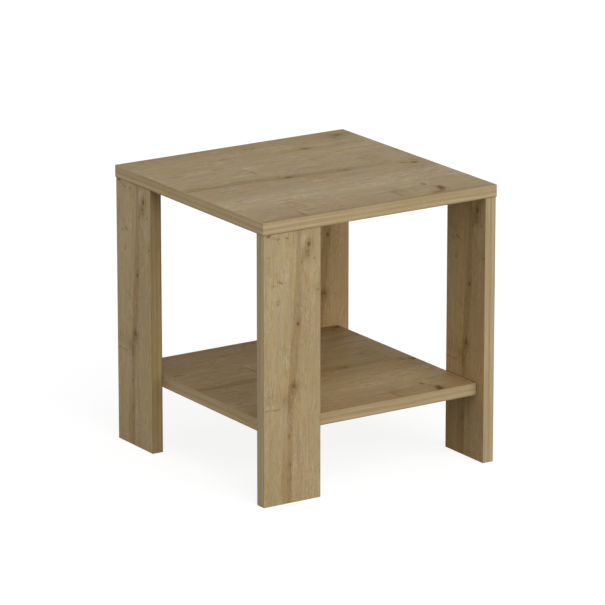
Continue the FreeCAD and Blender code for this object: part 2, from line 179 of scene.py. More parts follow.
# Marks: soft ovals that darken or lighten, placed across and along, with half sizes and a lean in degrees
Mark = namedtuple("Mark", "across along size tone lean", defaults=(0.0,))
LEG_MARKS = (
    # Ring and lobe of the upper knot
    Mark(72.4, 35.5, (5.4, 9.5), -0.30, -9.0),
    Mark(76.4, 15.4, (4.6, 0.9), -0.28),
    Mark(70.6, 19.0, (0.9, 3.4), -0.20),
    Mark(72.2, 21.5, (1.2, 3.6), 0.10),
    Mark(65.2, 39.0, (0.9, 9.0), -0.26, -9.0),
    Mark(74.2, 33.0, (0.9, 1.1), -0.45),
    Mark(75.6, 39.5, (1.0, 1.1), -0.40),
    Mark(70.2, 30.5, (1.0, 1.3), -0.24),
    Mark(67.5, 14.0, (4.2, 7.5), 0.12, -12.0),
    Mark(80.6, 19.0, (1.4, 6.0), 0.10),
    Mark(82.4, 21.0, (0.9, 7.5), -0.26, 4.0),
    # Lines that part and close below it
    Mark(60.6, 22.0, (0.8, 24.0), -0.15, 2.0),
    Mark(64.0, 47.5, (1.1, 3.2), -0.32),
    Mark(62.6, 62.0, (0.9, 7.0), -0.20, -20.0),
    Mark(67.6, 62.0, (0.8, 9.0), -0.17, 18.0),
    Mark(71.4, 76.0, (0.8, 10.0), -0.13, 14.0),
    Mark(62.0, 90.0, (1.2, 14.0), -0.14),
    # Small flecks
    Mark(28.0, 72.0, (4.2, 1.6), -0.54, -18.0),
    Mark(17.0, 75.8, (3.0, 1.1), -0.24, -15.0),
    Mark(85.6, 44.0, (1.5, 1.1), -0.55, 15.0),
    Mark(26.4, 98.5, (1.0, 2.6), -0.30),
    Mark(24.2, 103.5, (1.7, 2.1), -0.36),
    Mark(22.7, 99.5, (0.9, 2.4), -0.26),
    Mark(92.0, 91.0, (2.6, 1.6), -0.26),
    Mark(87.0, 88.0, (6.0, 5.0), -0.06),
    # Short cracks at the upper end
    Mark(8.6, 2.4, (2.8, 1.8), -0.85),
    Mark(17.0, 6.0, (3.0, 1.6), -0.20, -20.0),
    Mark(21.8, 8.6, (2.2, 0.9), -0.42, -30.0),
    Mark(25.3, 9.3, (2.2, 0.9), -0.52, 15.0),
    Mark(39.2, 9.1, (2.3, 1.2), -0.62, -25.0),
    Mark(9.0, 33.5, (4.0, 1.8), -0.16),
    Mark(5.0, 55.0, (5.0, 22.0), -0.06),
    # Crack across the left half, and the shade above it
    Mark(6.0, 256.9, (5.0, 0.9), -0.34),
    Mark(18.5, 257.8, (4.6, 0.9), -0.48, -8.0),
    Mark(25.6, 257.2, (2.6, 0.7), -0.38, 10.0),
    Mark(11.0, 252.5, (12.0, 2.0), 0.10, 3.0),
    Mark(18.0, 240.0, (19.0, 12.0), -0.08),
    # Lobe and light centre of the middle knot
    Mark(37.0, 248.0, (6.2, 9.0), -0.23),
    Mark(50.8, 231.8, (1.2, 1.1), 0.55),
    Mark(44.6, 246.0, (0.9, 11.0), -0.24),
    Mark(50.4, 248.0, (0.9, 11.0), -0.22),
    Mark(47.3, 242.0, (1.2, 4.0), 0.26),
    # Lines along the heart streak
    Mark(55.6, 196.0, (0.9, 22.0), -0.12, -3.0),
    Mark(60.6, 150.0, (0.9, 14.0), -0.12),
    Mark(46.4, 158.0, (0.8, 9.0), -0.16),
    Mark(72.0, 230.0, (14.0, 6.0), -0.05),
    Mark(33.5, 368.0, (4.4, 46.0), -0.19),
    Mark(45.3, 368.0, (0.9, 27.0), -0.18),
    Mark(48.8, 268.0, (0.8, 14.0), -0.18),
    Mark(49.8, 350.0, (1.8, 40.0), 0.07),
    Mark(52.8, 45.0, (1.8, 48.0), 0.09, -2.0),
    Mark(45.5, 160.0, (1.3, 40.0), 0.08, -6.0),
    # Leaning light flecks at the right
    Mark(85.0, 258.0, (0.9, 8.0), 0.14, -20.0),
    Mark(81.8, 268.0, (0.9, 6.0), 0.14, -20.0),
    Mark(86.0, 266.0, (0.7, 6.0), -0.14, -18.0),
    Mark(79.5, 329.0, (0.9, 3.4), -0.18, 25.0),
    # Broad clouds
    Mark(12.0, 340.0, (1.4, 60.0), -0.09),
    Mark(24.0, 60.0, (28.0, 75.0), 0.08),
    Mark(82.0, 62.0, (12.0, 18.0), 0.09),
    Mark(50.0, 395.0, (60.0, 60.0), -0.03),
)
TOP_MARKS = (
    # Flecks and streaks behind the middle
    Mark(27.5, 208.0, (2.2, 4.0), -0.34),
    Mark(29.5, 219.5, (2.2, 4.0), -0.42),
    Mark(74.0, 262.0, (2.6, 30.0), -0.16),
    Mark(75.0, 350.0, (2.5, 45.0), -0.13),
    Mark(113.0, 33.0, (4.5, 12.0), -0.22),
    Mark(108.0, 110.0, (8.0, 14.0), -0.07),
    Mark(110.5, 12.0, (2.6, 10.0), -0.10),
    # Cracks across the grain, dark beside light
    Mark(152.5, 142.8, (15.0, 1.9), -0.32),
    Mark(124.0, 147.5, (12.0, 1.8), 0.28),
    Mark(158.0, 112.0, (1.8, 26.0), 0.17),
    Mark(152.0, 397.0, (9.0, 3.5), -0.30),
    Mark(355.0, 258.0, (22.0, 9.0), -0.12),
    Mark(366.0, 250.0, (16.0, 3.4), -0.19),
    Mark(385.0, 76.0, (9.0, 3.2), -0.34),
    Mark(388.0, 55.0, (6.0, 22.0), -0.09),
    Mark(374.0, 84.5, (15.0, 2.0), 0.19),
    Mark(327.0, 98.0, (16.0, 6.0), -0.10),
    # Crack that leads to the front knot, and its shade
    Mark(339.0, 313.0, (6.0, 3.2), -0.40),
    Mark(352.0, 318.5, (7.0, 2.0), -0.18),
    Mark(342.0, 319.0, (6.0, 1.9), 0.22),
    Mark(361.0, 326.5, (4.0, 3.0), -0.30),
    Mark(379.0, 318.0, (6.0, 5.0), -0.36),
    Mark(387.0, 307.0, (5.0, 11.0), -0.28),
    # Beside the knots at the right end
    Mark(220.0, 360.0, (4.0, 7.0), -0.24),
    Mark(38.0, 360.0, (5.0, 3.0), -0.24),
    # Streaks along the heart
    Mark(233.0, 272.0, (2.4, 30.0), -0.12),
    Mark(194.0, 30.0, (2.4, 40.0), -0.09),
    Mark(210.5, 370.0, (2.0, 28.0), -0.06),
    # Broad clouds, and the darker front edge
    Mark(40.0, 358.0, (14.0, 14.0), -0.08),
    Mark(172.0, 335.0, (28.0, 18.0), -0.05),
    Mark(280.0, 365.0, (45.0, 35.0), -0.05),
    Mark(228.0, 60.0, (26.0, 90.0), -0.03),
    Mark(395.5, 130.0, (5.0, 260.0), -0.11),
)

# Speckled places, where small dark and light spots of this size crowd together
SPECKLE_SIZE = 1.7
LEG_SPECKLES = (
    Mark(8.0, 244.0, (12.0, 12.0), 0.72),
    Mark(66.0, 150.0, (8.0, 20.0), 0.26),
    Mark(70.0, 345.0, (14.0, 22.0), 0.22),
    Mark(74.0, 208.0, (12.0, 12.0), 0.22),
)
TOP_SPECKLES = (
    Mark(175.0, 310.0, (18.0, 30.0), 0.34),
    Mark(300.0, 80.0, (40.0, 90.0), 0.26),
    Mark(150.0, 90.0, (24.0, 50.0), 0.26),
)

# A heart streak along a board: its crisp edge, width toward the soft edge and darkness at stations
Station = namedtuple("Station", "along edge width tone")
LEG_HEART = (
    Station(0.0, 56.0, 9.0, 0.10),
    Station(60.0, 54.0, 9.0, 0.10),
    Station(100.0, 50.5, 13.0, 0.11),
    Station(155.0, 46.0, 16.0, 0.16),
    Station(205.0, 43.0, 14.0, 0.18),
    Station(250.0, 39.5, 12.0, 0.17),
    Station(300.0, 38.5, 10.0, 0.14),
    Station(350.0, 38.5, 9.0, 0.20),
    Station(400.0, 38.0, 9.5, 0.20),
)
TOP_HEART = (
    Station(0.0, 199.0, -18.0, 0.17),
    Station(40.0, 199.6, -18.0, 0.17),
    Station(105.0, 202.0, -19.0, 0.155),
    Station(153.0, 208.5, -27.0, 0.18),
    Station(205.0, 212.5, -19.5, 0.17),
    Station(270.0, 218.5, -21.0, 0.145),
    Station(345.0, 216.0, -11.0, 0.085),
    Station(400.0, 215.0, -10.0, 0.08),
)
WIDEST_HEART = 40.0
DARKEST_HEART = 0.5

# Where the streak starts and is full at each edge, in widths from the crisp one
CRISP_EDGE = (-0.10, 0.14)
SOFT_EDGE = (1.15, 0.65)

# Broad tone across the grain, from a leg's left edge and from the back edge of the top and the shelf
LEG_BROAD = ((0.0, 0.03), (30.0, 0.03), (60.0, 0.0), (96.0, 0.01))
TOP_BROAD = (
    (0.0, -0.13), (25.0, -0.09), (50.0, -0.05), (72.0, -0.05), (100.0, -0.01), (150.0, -0.02),
    (180.0, -0.02), (215.0, -0.03), (245.0, -0.02), (285.0, 0.09), (305.0, 0.09), (330.0, 0.03),
    (365.0, -0.02), (400.0, -0.07),
)

# Tone across an edge band, from its upper or left edge, ending in painted shade along its far edge; the
# bands at the table's corners stay light
BAND_PROFILE = (
    (0.0, -0.03), (1.2, -0.02), (3.0, -0.01), (6.0, 0.03), (9.2, -0.07), (13.4, 0.095), (15.4, 0.03),
)
BAND_SHADED_END = ((16.8, -0.14), (18.0, -0.24))
CORNER_END = ((16.8, 0.0), (18.0, -0.02))

# The darkest and lightest tone that a curve across the grain can reach
TONE_LIMIT = 0.5

# Rise of the grain along an edge band, for each mm
BAND_SLOPE = 0.005

# The two printed sheets: one for all legs, one for the top and the shelf
Sheet = namedtuple("Sheet", "knots marks speckles heart broad layers rings width stain drift")
LEG_SHEET = Sheet(
    LEG_KNOTS, LEG_MARKS, LEG_SPECKLES, LEG_HEART, LEG_BROAD, LEG_LAYERS, LEG_RINGS, LEG_WIDTH,
    LEG_STAIN, LEG_DRIFT,
)
TOP_SHEET = Sheet(
    TOP_KNOTS, TOP_MARKS, TOP_SPECKLES, TOP_HEART, TOP_BROAD, TOP_LAYERS, TOP_RINGS, TOP_WIDTH,
    TOP_STAIN, TOP_DRIFT,
)

# Ragged outlines: size and reach of their bumps in mm, and how much of it the grain follows
RAGGED_SIZE = 4.5
RAGGED_REACH = 2.0
RAGGED_GRAIN = 0.3

# Waves of the grain: size and reach in mm, and their place along the grain for each mm
WAVE_SIZE = 60.0
WAVE_REACH = 3.0
WAVE_STRETCH = 0.5

# Thin dark lines where boards meet, each with the distances in mm at which it starts and is full: painted
# shade in the crease round the shelf's end on a leg and under the top, and a dark line beside a panel's
# bands
SEAT_ROUNDING = 2.2
SEAT_OUTSIDE = (0.9, 0.4)
SEAT_INSIDE = (-1.7, -1.2)
SEAT_SHADE_TONE = -0.75
UNDER_TOP_SHADE_REACH = (0.9, 0.3)
UNDER_TOP_SHADE_TONE = -0.60
SEAM = (1.4, 0.3)
SEAM_TONE = -0.06

# Painted shade on rounded edges: the normal's largest part where one starts and is full
ARRIS = (0.995, 0.90)
ARRIS_SHADE_TONE = -0.12

# How near to a leg's face a point counts as on it, in mm, and how upright the normal of a panel's face is
FACE_REACH = 1.0
UPRIGHT = 0.5

# Lacquer: its roughness, more in dark wood and in pores, its gloss, and the pores' depth in the relief
LACQUER_ROUGH = 0.52
DARK_ROUGH = -0.25
PORE_ROUGH = 0.12
LACQUER_GLOSS = 0.05
PORE_DEPTH = -0.8

# Relief of a surface: its strength, and its depth in mm
Relief = namedtuple("Relief", "strength depth")
OAK_RELIEF = Relief(0.25, 0.15)
BEECH_RELIEF = Relief(0.3, 0.1)
METAL_RELIEF = Relief(0.2, 0.05)

# Bare board: colour of its chips, how many lie along a mm, and their darkest and lightest shade
CHIP_COLOR = (0.42, 0.30, 0.17)
CHIPS_PER_MM = 0.45
CHIP_SHADES = (0.6, 1.25)

# Beech: its colours, its flecks for each mm, the noise where they start and are full, and its roughness
BEECH_LIGHT = (0.56, 0.38, 0.22)
BEECH_DARK = (0.42, 0.26, 0.14)
FLECKS_PER_MM = 1.6
FLECK_DETAIL = 3.0
FLECK_NOISE = (0.35, 0.7)
BEECH_ROUGH = 0.6
FLECK_ROUGH = 0.15

# Metals: colours of their clouds, roughness, and the clouds' size in mm
Metal = namedtuple("Metal", "dark bright rough cloud")
STEEL = Metal((0.52, 0.52, 0.50), (0.68, 0.68, 0.66), 0.25, 1.5)
ZINC = Metal((0.42, 0.42, 0.42), (0.58, 0.58, 0.57), 0.35, 2.5)
CLOUD_DETAIL = 4.0
CLOUD_ROUGH = 0.2

# Noise lies about its mean, and the gain brings it to a span from -1 to 1
NOISE_MEAN = 0.5
NOISE_GAIN = 2.0
NOISE_ROUGHNESS = 0.55
WANDER_DETAIL = 2.0

# Fall of a soft oval from its middle to its half sizes
OVAL_FALL = math.exp(-1.0)

# Places of a colour mix's sockets in its node
MIX_FACTOR = 0
MIX_FIRST = 6
MIX_SECOND = 7
MIX_RESULT = 2


class Graph:
    """Short ways to add nodes to a tree; an input takes a number, a tuple or another node's output."""

    def __init__(self, tree):
        self.tree = tree

    def feed(self, socket, value):
        if isinstance(value, bpy.types.NodeSocket):
            self.tree.links.new(value, socket)
        else:
            socket.default_value = value

    def add(self, kind, values=(), **settings):
        node = self.tree.nodes.new(kind)
        for name, setting in settings.items():
            setattr(node, name, setting)
        for key, value in dict(values).items():
            self.feed(node.inputs[key], value)
        return node

    def math(self, operation, *values):
        return self.add("ShaderNodeMath", enumerate(values), operation=operation).outputs["Value"]

    def vector(self, operation, *values):
        return self.add("ShaderNodeVectorMath", enumerate(values), operation=operation).outputs["Vector"]

    def dot(self, first, second):
        node = self.add("ShaderNodeVectorMath", enumerate((first, second)), operation="DOT_PRODUCT")
        return node.outputs["Value"]

    def scaled(self, vector, factor):
        values = {"Vector": vector, "Scale": factor}
        return self.add("ShaderNodeVectorMath", values, operation="SCALE").outputs["Vector"]

    def stretched(self, grain, width, length):
        """A place in the grain, measured in a figure's width and length."""
        return self.vector("MULTIPLY", grain, (1.0 / width, 1.0 / length, 1.0 / width))

    def split(self, vector):
        return self.add("ShaderNodeSeparateXYZ", {"Vector": vector}).outputs

    def join(self, x, y, z):
        return self.add("ShaderNodeCombineXYZ", {"X": x, "Y": y, "Z": z}).outputs["Vector"]

    def turned(self, vector, angle):
        values = {"Vector": vector, "Angle": angle}
        return self.add("ShaderNodeVectorRotate", values, rotation_type="Z_AXIS").outputs["Vector"]

    def placed(self, vector, middle, size):
        """A place measured from an oval's middle in its half sizes."""
        shares = [1.0 / half for half in size]
        start = [-share * place for share, place in zip(shares, middle)]
        return self.vector("MULTIPLY_ADD", vector, (*shares, 0.0), (*start, 0.0))

    def leaning(self, vector, crossed, middle, size, lean):
        """The same for an oval that leans to the right; crossed is the vector after a quarter turn."""
        upright = [math.cos(lean) / half for half in size]
        sideways = [-math.sin(lean) / half for half in size]
        crossed_middle = (middle[1], -middle[0])
        start = [-upright[i] * middle[i] - sideways[i] * crossed_middle[i] for i in (0, 1)]
        turned = self.vector("MULTIPLY_ADD", vector, (*upright, 0.0), (*start, 0.0))
        return self.vector("MULTIPLY_ADD", crossed, (*sideways, 0.0), turned)

    def ramp(self, value, start, end, low=0.0, high=1.0):
        values = {"Value": value, "From Min": start, "From Max": end, "To Min": low, "To Max": high}
        return self.add("ShaderNodeMapRange", values, interpolation_type="SMOOTHSTEP").outputs["Result"]

    def noise(self, vector, detail=1.0):
        values = {"Vector": vector, "Scale": 1.0, "Detail": detail, "Roughness": NOISE_ROUGHNESS}
        return self.add("ShaderNodeTexNoise", values).outputs["Fac"]

    def wander(self, vector, scale=1.0):
        """Three noises about 0, as a vector."""
        values = {"Vector": vector, "Scale": scale, "Detail": WANDER_DETAIL}
        color = self.add("ShaderNodeTexNoise", values).outputs["Color"]
        return self.vector("SUBTRACT", color, (NOISE_MEAN,) * 3)

    def curve(self, value, points, span, low, high):
        """A smooth curve through points (place, height) along a span, between the heights low and high."""
        node = self.add("ShaderNodeFloatCurve")
        line = node.mapping.curves[0]
        shares = [(place / span, (height - low) / (high - low)) for place, height in points]
        line.points[0].location = shares[0]
        line.points[1].location = shares[-1]
        for share in shares[1:-1]:
            line.points.new(*share)
        node.mapping.update()
        self.feed(node.inputs["Value"], self.math("DIVIDE", value, span))
        return self.math("MULTIPLY_ADD", node.outputs["Value"], high - low, low)

    def mixed(self, factor, first, second):
        node = self.add("ShaderNodeMix", data_type="RGBA")
        self.feed(node.inputs[MIX_FACTOR], factor)
        self.feed(node.inputs[MIX_FIRST], first)
        self.feed(node.inputs[MIX_SECOND], second)
        return node.outputs[MIX_RESULT]


def opaque(color):
    return (*color, 1.0)


def new_material(name):
    material = bpy.data.materials.new(name)
    material.use_nodes = True
    graph = Graph(material.node_tree)
    shader = material.node_tree.nodes["Principled BSDF"]
    return material, graph, shader


def object_place(g):
    """The shaded point in the table's frame, in mm."""
    place = g.add("ShaderNodeTexCoord").outputs["Object"]
    return g.scaled(place, 1.0 / MM)


def surface_normal(g):
    return g.add("ShaderNodeNewGeometry").outputs["Normal"]


def add_relief(g, shader, height, relief):
    values = {"Height": height, "Strength": relief.strength, "Distance": relief.depth * MM}
    bump = g.add("ShaderNodeBump", values)
    g.feed(shader.inputs["Normal"], bump.outputs["Normal"])


def oval(g, reach):
    """1 in the middle of a soft oval, falling to 0 outside it; reach is 1 at its half sizes."""
    return g.math("POWER", OVAL_FALL, g.dot(reach, reach))


def jitter(g, grain, size, reach):
    """A shift that wanders by a few mm, to make outlines uneven."""
    return g.scaled(g.wander(grain, 1.0 / size), NOISE_GAIN * reach)


def add_knots(g, ragged, bent, tone, knots):
    """Darken the knots and bend the grain round them; gives the new tone and the bent grain."""
    for knot in knots:
        middle = (knot.across, knot.along)
        away = g.placed(ragged, middle, knot.halo)
        halo = oval(g, away)
        eye = oval(g, g.placed(ragged, middle, knot.eye))
        tone = g.math("MULTIPLY_ADD", halo, -knot.shade, tone)
        tone = g.math("MULTIPLY_ADD", eye, -knot.dark, tone)
        pull = g.vector("MULTIPLY", away, (knot.bend * knot.halo[0], 0.0, 0.0))
        bent = g.vector("SUBTRACT", bent, g.scaled(pull, halo))
    return tone, bent


def add_marks(g, grain, tone, marks):
    crossed = g.vector("CROSS_PRODUCT", grain, (0.0, 0.0, 1.0))
    for mark in marks:
        middle = (mark.across, mark.along)
        if mark.lean:
            reach = g.leaning(grain, crossed, middle, mark.size, math.radians(mark.lean))
        else:
            reach = g.placed(grain, middle, mark.size)
        tone = g.math("MULTIPLY_ADD", oval(g, reach), mark.tone, tone)
    return tone


def add_speckles(g, grain, tone, speckles):
    spots = g.math("SUBTRACT", g.noise(g.scaled(grain, 1.0 / SPECKLE_SIZE)), NOISE_MEAN)
    for speckle in speckles:
        place = oval(g, g.placed(grain, (speckle.across, speckle.along), speckle.size))
        share = g.math("MULTIPLY", place, NOISE_GAIN * speckle.tone)
        tone = g.math("MULTIPLY_ADD", spots, share, tone)
    return tone


def heart_streak(g, grain, stations, reach):
    """A darker streak with one crisp and one soft edge, wandering along the board."""
    across, along, _ = g.split(grain)
    span = stations[-1].along
    edge = g.curve(along, [(s.along, s.edge) for s in stations], span, 0.0, reach)
    width = g.curve(along, [(s.along, s.width) for s in stations], span, -WIDEST_HEART, WIDEST_HEART)
    depth = g.curve(along, [(s.along, s.tone) for s in stations], span, 0.0, DARKEST_HEART)
    share = g.math("DIVIDE", g.math("SUBTRACT", across, edge), width)
    rise = g.ramp(share, *CRISP_EDGE)
    fall = g.ramp(share, *SOFT_EDGE)
    return g.math("MULTIPLY", depth, g.math("MULTIPLY", rise, fall))


def grain_figure(g, grain, layers):
    """The sum of the grain's figures, above 0 where they lighten the wood."""
    figure = -sum(layer.strength for layer in layers)
    for number, layer in enumerate(layers, 1):
        place = g.stretched(grain, layer.width, layer.length)
        shifted = g.vector("ADD", place, (0.0, 0.0, LAYER_STEP * number))
        noise = g.noise(shifted, layer.detail)
        figure = g.math("MULTIPLY_ADD", noise, NOISE_GAIN * layer.strength, figure)
    return figure


def liveliness(g, grain):
    """How strongly the grain shows, changing slowly over the board."""
    place = g.stretched(grain, CALM_WIDTH, CALM_LENGTH)
    return g.ramp(g.noise(place), CALM_NOISE, LIVELY_NOISE, CALM, LIVELY)


def add_rings(g, grain, tone, rings):
    """Lines along the grain, each darkening slowly to a crisp edge."""
    place = g.stretched(grain, rings.width, rings.length)
    growth = g.math("FRACT", g.math("MULTIPLY", g.noise(place), rings.count))
    line = g.math("SUBTRACT", g.math("POWER", growth, RING_FALL), 1.0 / (1.0 + RING_FALL))
    return g.math("MULTIPLY_ADD", line, -rings.strength, tone)


def add_pores(g, grain, tone):
    """Short dark pores along the grain, seen only close by; gives the new tone and the pores."""
    place = g.stretched(grain, PORE_WIDTH, PORE_LENGTH)
    pores = g.ramp(g.noise(place), PORE_BEGINS, PORE_DEEP)
    return g.math("MULTIPLY_ADD", pores, PORE_TONE, tone), pores


def decor(g, grain, sheet):
    """The tone and the pores of a decor sheet."""
    shift = jitter(g, grain, RAGGED_SIZE, RAGGED_REACH)
    ragged = g.vector("ADD", grain, shift)
    wavy = jitter(g, g.vector("MULTIPLY", grain, (1.0, WAVE_STRETCH, 1.0)), WAVE_SIZE, WAVE_REACH)
    tone = g.curve(g.split(grain)[0], sheet.broad, sheet.width, -TONE_LIMIT, TONE_LIMIT)
    uneven = g.vector("ADD", grain, g.scaled(shift, RAGGED_GRAIN))
    tone, bent = add_knots(g, ragged, uneven, tone, sheet.knots)
    tone = add_marks(g, ragged, tone, sheet.marks)
    tone = add_speckles(g, grain, tone, sheet.speckles)
    tone = g.math("SUBTRACT", tone, heart_streak(g, ragged, sheet.heart, sheet.width))
    moved = g.vector("ADD", bent, g.vector("MULTIPLY", wavy, (1.0, 0.0, 0.0)))
    tone = g.math("MULTIPLY_ADD", grain_figure(g, moved, sheet.layers), liveliness(g, grain), tone)
    tone = add_rings(g, moved, tone, sheet.rings)
    return add_pores(g, moved, tone)


def hue_drift(g, grain, drift):
    """Slow change between pink, green, grey and warm wood."""
    return g.vector("MULTIPLY", g.wander(g.stretched(grain, drift.width, drift.length)), drift.rates)


def stained(g, tone, rates, drift, oak):
    """An oak colour at a tone, below 0 darker and warmer, with a drift of its red, green and blue."""
    fades = []
    for rate, shift in zip(rates, g.split(drift)):
        fades.append(g.math("EXPONENT", g.math("MULTIPLY_ADD", tone, rate, shift)))
    return g.vector("MULTIPLY", g.join(*fades), oak)


def sheet_color(g, tone, grain, sheet, oak):
    return stained(g, tone, sheet.stain, hue_drift(g, grain, sheet.drift), oak)


def chipboard(g, place):
    """Pressed wood chips, where a board's own core is bare."""
    chips = g.add("ShaderNodeTexVoronoi", {"Vector": g.scaled(place, CHIPS_PER_MM)})
    shade = g.ramp(g.split(chips.outputs["Color"])[0], 0.0, 1.0, *CHIP_SHADES)
    return g.scaled(CHIP_COLOR, shade)


def finish_oak(g, shader, color, tone, pores):
    """Satin lacquered decor: duller in the pores, with a faint relief of the grain."""
    g.feed(shader.inputs["Base Color"], color)
    rough = g.math("MULTIPLY_ADD", tone, DARK_ROUGH, LACQUER_ROUGH)
    g.feed(shader.inputs["Roughness"], g.math("MULTIPLY_ADD", pores, PORE_ROUGH, rough))
    add_relief(g, shader, g.math("MULTIPLY_ADD", pores, PORE_DEPTH, tone), OAK_RELIEF)
    shader.inputs["Specular IOR Level"].default_value = LACQUER_GLOSS


def leg_grain(g, place, normal):
    """Across and down the leg face being shaded, as seen by someone facing it, whether the point is on
    a face, and whether that is the inner one."""
    outward = g.dot(place, normal)
    side = g.math("SIGN", outward)
    facing = g.split(g.scaled(normal, side))
    angle = g.math("ADD", g.math("ARCTAN2", facing["Y"], facing["X"]), math.pi / 2.0)
    own = g.split(g.turned(place, g.math("MULTIPLY", angle, -1.0)))
    middle = (leg_low.x + leg_high.x) / 2.0
    across = g.math("MULTIPLY_ADD", g.math("SUBTRACT", own["X"], middle), side, LEG_WIDTH / 2.0)
    along = g.math("SUBTRACT", LEG_TOP, own["Z"])
    depth = g.math("ABSOLUTE", outward)
    outer_gap = g.math("ABSOLUTE", g.math("SUBTRACT", depth, LEG_OUTSIDE))
    inner_gap = g.math("ABSOLUTE", g.math("SUBTRACT", depth, LEG_INSIDE))
    on_face = g.math("LESS_THAN", g.math("MINIMUM", outer_gap, inner_gap), FACE_REACH)
    inner = g.math("LESS_THAN", outward, 0.0)
    return g.join(across, along, 0.0), on_face, inner


def shelf_seat_shade(g, grain):
    """1 on a thin line of painted shade round the shelf's end, on a leg's inner face."""
    across, along, _ = g.split(grain)
    corner = LEG_WIDTH - BOARD - SEAT_ROUNDING
    middle = LEG_TOP - (SHELF_LOW + SHELF_HIGH) / 2.0
    half = (SHELF_HIGH - SHELF_LOW) / 2.0 - SEAT_ROUNDING
    beside = g.math("MAXIMUM", g.math("SUBTRACT", across, corner), 0.0)
    above = g.math("SUBTRACT", g.math("ABSOLUTE", g.math("SUBTRACT", along, middle)), half)
    offset = g.join(beside, g.math("MAXIMUM", above, 0.0), 0.0)
    away = g.math("SUBTRACT", g.math("SQRT", g.dot(offset, offset)), SEAT_ROUNDING)
    return g.math("MULTIPLY", g.ramp(away, *SEAT_OUTSIDE), g.ramp(away, *SEAT_INSIDE))


def shade_under_top(g, height):
    """1 on a thin line of painted shade where a leg meets the top."""
    return g.ramp(g.math("SUBTRACT", LEG_TOP, height), *UNDER_TOP_SHADE_REACH)


def oak_leg():
    """Upright grain on the legs' wide faces and the discs that cover their cams, a shaded copy of the oak
    on the inner faces, and painted shade where the shelf and the top meet them.
    """
    material, g, shader = new_material("oak_leg")
    place = object_place(g)
    grain, on_face, inner = leg_grain(g, place, surface_normal(g))
    # Inner faces take the warmer, shaded copy of the oak: painted shade and bounce light
    oak = g.mixed(inner, opaque(OUTER_OAK), opaque(INNER_SHADED_OAK))
    tone, pores = decor(g, grain, LEG_SHEET)
    # Painted shade in the crease round the shelf's end on the inner face
    tone = g.math("MULTIPLY_ADD", g.math("MULTIPLY", shelf_seat_shade(g, grain), inner), SEAT_SHADE_TONE, tone)
    # Painted shade where the leg meets the top
    tone = g.math("MULTIPLY_ADD", shade_under_top(g, g.split(place)["Z"]), UNDER_TOP_SHADE_TONE, tone)
    color = g.mixed(on_face, chipboard(g, place), sheet_color(g, tone, grain, LEG_SHEET, oak))
    finish_oak(g, shader, color, tone, pores)
    return material


def oak_panel(name, oak):
    """Grain from side to side on the top and the shelf, and a thin line beside their bands."""
    material, g, shader = new_material(name)
    place = object_place(g)
    x, y, _ = g.split(place)
    normal = g.split(surface_normal(g))
    across = g.math("SUBTRACT", table_high.y, y)
    along = g.math("SUBTRACT", x, table_low.x)
    grain = g.join(across, along, 0.0)
    tone, pores = decor(g, grain, TOP_SHEET)
    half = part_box(name)[1].x / MM
    farthest = g.math("MAXIMUM", g.math("ABSOLUTE", x), g.math("ABSOLUTE", y))
    seam = g.ramp(g.math("SUBTRACT", half, farthest), *SEAM)
    tone = g.math("MULTIPLY_ADD", seam, SEAM_TONE, tone)
    on_face = g.math("GREATER_THAN", g.math("ABSOLUTE", normal["Z"]), UPRIGHT)
    color = g.mixed(on_face, chipboard(g, place), sheet_color(g, tone, grain, TOP_SHEET, oak))
    finish_oak(g, shader, color, tone, pores)
    return material


def arris(g):
    """1 on a rounded edge, where the surface turns away from all three axes."""
    x, y, z = g.split(g.vector("ABSOLUTE", surface_normal(g)))
    return g.ramp(g.math("MAXIMUM", g.math("MAXIMUM", x, y), z), *ARRIS)


def across_band(g, group, axis, place):
    """Place across an edge band, from its upper edge or from the left of someone facing it."""
    z = g.split(place)["Z"]
    aside_x, aside_y, _ = g.split(g.vector("ABSOLUTE", place))
    if group == "top":
        return g.math("SUBTRACT", table_high.z, z)
    if group == "shelf":
        return g.math("SUBTRACT", SHELF_HIGH, z)
    if group == "corner":
        return g.math("SUBTRACT", g.math("MINIMUM", aside_x, aside_y), LEG_INSIDE)
    if group == "inner":
        return g.math("SUBTRACT", LEG_OUTSIDE, g.math("MAXIMUM", aside_x, aside_y))
    return g.math("SUBTRACT", LEG_OUTSIDE, aside_y if axis == "X" else aside_x)


def oak_band(group, axis):
    """Straight grain along an edge band, with painted shade on its rounded edges, along its far edge
    except at the table's corners, and under the top on upright bands.
    """
    material, g, shader = new_material(f"oak_{group}_band_{axis.lower()}")
    place = object_place(g)
    x, y, z = g.split(place)
    first, along, second = {"X": (y, x, z), "Y": (x, y, z), "Z": (x, z, y)}[axis]
    grain = g.join(first, along, g.math("MULTIPLY_ADD", along, BAND_SLOPE, second))
    # All but the corner bands end in painted shade along their far edge
    profile = BAND_PROFILE + (CORNER_END if group == "corner" else BAND_SHADED_END)
    tone = g.curve(across_band(g, group, axis, place), profile, BOARD, -TONE_LIMIT, TONE_LIMIT)
    # Painted shade on the rounded edges
    tone = g.math("MULTIPLY_ADD", arris(g), ARRIS_SHADE_TONE, tone)
    # Painted shade where an upright band meets the top
    if axis == "Z":
        tone = g.math("MULTIPLY_ADD", shade_under_top(g, z), UNDER_TOP_SHADE_TONE, tone)
    tone = g.math("ADD", tone, grain_figure(g, grain, BAND_LAYERS))
    tone, pores = add_pores(g, grain, tone)
    # Each group of bands takes its own lit or shaded copy of the oak: painted shade on the inner bands
    color = stained(g, tone, LEG_STAIN, hue_drift(g, grain, BAND_DRIFT), BAND_LIT_AND_SHADED_OAKS[group])
    finish_oak(g, shader, color, tone, pores)
    return material


